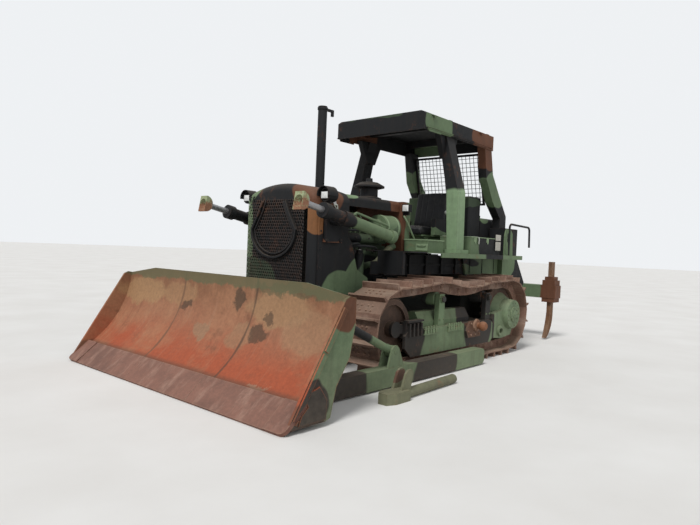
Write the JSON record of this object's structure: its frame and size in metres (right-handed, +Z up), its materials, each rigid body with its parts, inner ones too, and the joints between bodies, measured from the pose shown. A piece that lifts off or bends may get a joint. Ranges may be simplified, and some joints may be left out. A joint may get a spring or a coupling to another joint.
{
  "type": "crawler bulldozer",
  "caption": "Military crawler dozer with wide tracks, open canopy, straight blade lying uncoupled on its push arms, and a rear ripper.",
  "frame": {"origin": "on the ground, on the centre line, halfway between the blade edge and the back of the ripper beam", "axes": "+X forward, +Y to the machine's left, +Z up"},
  "size_m": [7.1332, 3.688, 3.235],
  "materials": {
    "green_paint": "matt camouflage green, faded and dusty",
    "black_paint": "matt camouflage black, worn",
    "brown_paint": "matt camouflage red-brown",
    "rust_steel": "bare steel gone rusty",
    "track_steel": "rusty track steel with pale worn edges",
    "dark_iron": "greasy dark iron",
    "rod_steel": "bare rod steel, dulled",
    "seat_black": "black vinyl, dusty"
  },
  "bodies": {
    "tractor": {"track_left": "track_steel", "track_right": "track_steel", "track_wheels": "dark_iron", "track_rollers": "dark_iron", "track_frame_left": "green_paint", "track_frame_right": "green_paint", "final_drives": "green_paint", "hull": "black_paint", "radiator_guard": "black_paint", "grille": "black_paint", "hood": "green_paint", "engine": "green_paint", "engine_pipes": "green_paint", "exhaust_stack": "black_paint", "pre_cleaner": "black_paint", "dash_cowl": "brown_paint", "platform": "green_paint", "deck_boxes": "green_paint", "seat_base": "green_paint", "seat_cushion": "seat_black", "seat_back": "seat_black", "levers": "black_paint", "fuel_tank": "black_paint", "rear_fittings": "green_paint", "canopy_posts": "black_paint", "canopy": "green_paint", "rear_screen": "black_paint", "lamps": "black_paint", "cylinder_yokes": "brown_paint", "loose_brace": "green_paint", "ripper_mount": "black_paint"},
    "blade": {"moldboard": "rust_steel", "cutting_edges": "rust_steel", "push_arms": "green_paint", "blade_braces": "green_paint"},
    "lift_cylinder_left": {"lift_barrel_left": "green_paint"},
    "lift_cylinder_right": {"lift_barrel_right": "green_paint"},
    "lift_rod_left": {"lift_rod_left": "rod_steel"},
    "lift_rod_right": {"lift_rod_right": "rod_steel"},
    "ripper_lower": {"ripper_lower_links": "black_paint"},
    "ripper_upper": {"ripper_upper_links": "black_paint"},
    "ripper": {"ripper_beam": "brown_paint", "ripper_shanks": "rust_steel"},
    "ripper_cylinders": {"ripper_barrels": "black_paint"},
    "ripper_rods": {"ripper_rods": "rod_steel"}
  },
  "joints": [
    {"name": "blade_lift", "type": "hinge", "parent": "tractor", "child": "blade", "pos_m": [-0.18457, 0, 0.117], "axis": [0, -1, 0], "range_deg": [0, 17]},
    {"name": "lift_cylinder_swing_left", "type": "hinge", "parent": "tractor", "child": "lift_cylinder_left", "pos_m": [1.80343, 0.8, 1.74], "axis": [0, 1, 0], "range_deg": [0, 13]},
    {"name": "lift_rod_slide_left", "type": "slide", "parent": "lift_cylinder_left", "child": "lift_rod_left", "axis": [0.9823, 0, 0.1874], "range_m": [-0.15, 0]},
    {"name": "lift_cylinder_swing_right", "type": "hinge", "parent": "tractor", "child": "lift_cylinder_right", "pos_m": [1.80343, -0.8, 1.74], "axis": [0, 1, 0], "range_deg": [0, 13]},
    {"name": "lift_rod_slide_right", "type": "slide", "parent": "lift_cylinder_right", "child": "lift_rod_right", "axis": [0.9823, 0, 0.1874], "range_m": [-0.15, 0]},
    {"name": "ripper_lift", "type": "hinge", "parent": "tractor", "child": "ripper_lower", "pos_m": [-2.40657, 0, 0.56], "axis": [0, 1, 0], "range_deg": [-28, 28]},
    {"name": "ripper_beam_level", "type": "hinge", "parent": "ripper_lower", "child": "ripper", "pos_m": [-3.20219, 0, 0.64362], "axis": [0, 1, 0], "range_deg": [-28, 28]},
    {"name": "ripper_upper_swing", "type": "hinge", "parent": "tractor", "child": "ripper_upper", "pos_m": [-2.34657, 0, 0.98], "axis": [0, 1, 0], "range_deg": [-28, 28]},
    {"name": "ripper_cylinder_swing", "type": "hinge", "parent": "tractor", "child": "ripper_cylinders", "pos_m": [-2.22657, 0, 1.33], "axis": [0, 1, 0], "range_deg": [-16.28, 16.28]},
    {"name": "ripper_rod_slide", "type": "slide", "parent": "ripper_cylinders", "child": "ripper_rods", "axis": [-0.8459, 0, -0.5333], "range_m": [-0.24024, 0.24024]}
  ],
  "couplings": [
    {"joint": "lift_cylinder_swing_left", "follows": "blade_lift", "ratio": 0.76394},
    {"joint": "lift_rod_slide_left", "follows": "blade_lift", "m_per_rad": -0.50505},
    {"joint": "lift_cylinder_swing_right", "follows": "blade_lift", "ratio": 0.76394},
    {"joint": "lift_rod_slide_right", "follows": "blade_lift", "m_per_rad": -0.50505},
    {"joint": "ripper_beam_level", "follows": "ripper_lift", "ratio": -1},
    {"joint": "ripper_upper_swing", "follows": "ripper_lift", "ratio": 1},
    {"joint": "ripper_cylinder_swing", "follows": "ripper_lift", "ratio": 0.58144},
    {"joint": "ripper_rod_slide", "follows": "ripper_lift", "m_per_rad": -0.49155}
  ]
}
